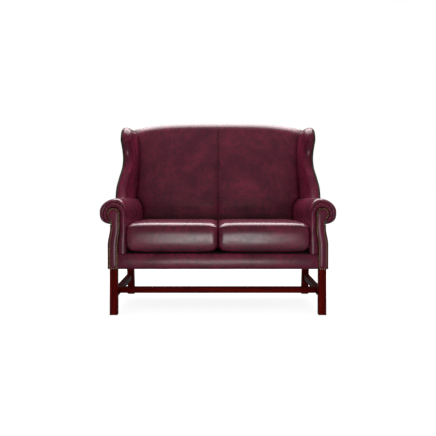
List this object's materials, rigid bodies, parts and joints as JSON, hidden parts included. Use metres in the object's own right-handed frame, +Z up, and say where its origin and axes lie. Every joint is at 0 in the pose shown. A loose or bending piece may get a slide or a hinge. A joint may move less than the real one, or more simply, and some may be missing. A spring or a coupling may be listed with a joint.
{
  "type": "high back settee",
  "caption": "High back wing settee in dark burgundy leather with scroll arms, loose box cushions, a seamed back and square timber legs joined by stretchers",
  "frame": {"origin": "on the floor under the middle of the settee's own length and depth", "axes": "+X along the settee to the right as seen from the front, +Y from the front to the back, +Z up"},
  "size_m": [1.3414, 0.764, 1.1396],
  "materials": {
    "padded_leather": "satin",
    "leather_panel": "satin",
    "mahogany": "satin",
    "frame_timber": "matte",
    "spring_steel": "satin",
    "black_cloth": "matte",
    "webbing": "matte"
  },
  "bodies": {
    "settee": {"arm_board_left": "frame_timber", "arm_board_right": "frame_timber", "arm_facing_left": "leather_panel", "arm_facing_right": "leather_panel", "arm_gathered_border_left": "leather_panel", "arm_gathered_border_right": "leather_panel", "arm_stump_left": "frame_timber", "arm_stump_right": "frame_timber", "arm_top_rail_left": "frame_timber", "arm_top_rail_right": "frame_timber", "back_centre_upright": "frame_timber", "back_lower_rail": "frame_timber", "back_top_rail": "frame_timber", "back_webbing": "webbing", "cross_stretcher": "mahogany", "dust_cover": "black_cloth", "front_corner_block_left": "frame_timber", "front_corner_block_right": "frame_timber", "front_leg_left": "mahogany", "front_leg_right": "mahogany", "front_rail_cover": "leather_panel", "front_seat_rail": "frame_timber", "inside_arm_left": "padded_leather", "inside_arm_right": "padded_leather", "inside_back_left": "padded_leather", "inside_back_right": "padded_leather", "inside_wing_left": "padded_leather", "inside_wing_right": "padded_leather", "outside_arm_left": "leather_panel", "outside_arm_right": "leather_panel", "outside_back": "leather_panel", "outside_wing_left": "padded_leather", "outside_wing_right": "padded_leather", "rear_corner_block_left": "frame_timber", "rear_corner_block_right": "frame_timber", "rear_leg_left": "mahogany", "rear_leg_right": "mahogany", "rear_seat_rail": "frame_timber", "seat_brace": "frame_timber", "seat_deck": "black_cloth", "seat_spring_1": "spring_steel", "seat_spring_2": "spring_steel", "seat_spring_3": "spring_steel", "seat_spring_4": "spring_steel", "seat_spring_5": "spring_steel", "seat_spring_6": "spring_steel", "seat_spring_7": "spring_steel", "seat_spring_8": "spring_steel", "side_seat_rail_left": "frame_timber", "side_seat_rail_right": "frame_timber", "side_stretcher_left": "mahogany", "side_stretcher_right": "mahogany", "wing_board_left": "frame_timber", "wing_board_right": "frame_timber"},
    "left_cushion": {"seat_cushion_left": "padded_leather"},
    "right_cushion": {"seat_cushion_right": "padded_leather"}
  },
  "joints": [
    {"name": "left_cushion_lift", "type": "slide", "parent": "settee", "child": "left_cushion", "axis": [0, 0, 1], "range_m": [0, 0.35]},
    {"name": "right_cushion_lift", "type": "slide", "parent": "settee", "child": "right_cushion", "axis": [0, 0, 1], "range_m": [0, 0.35]}
  ]
}
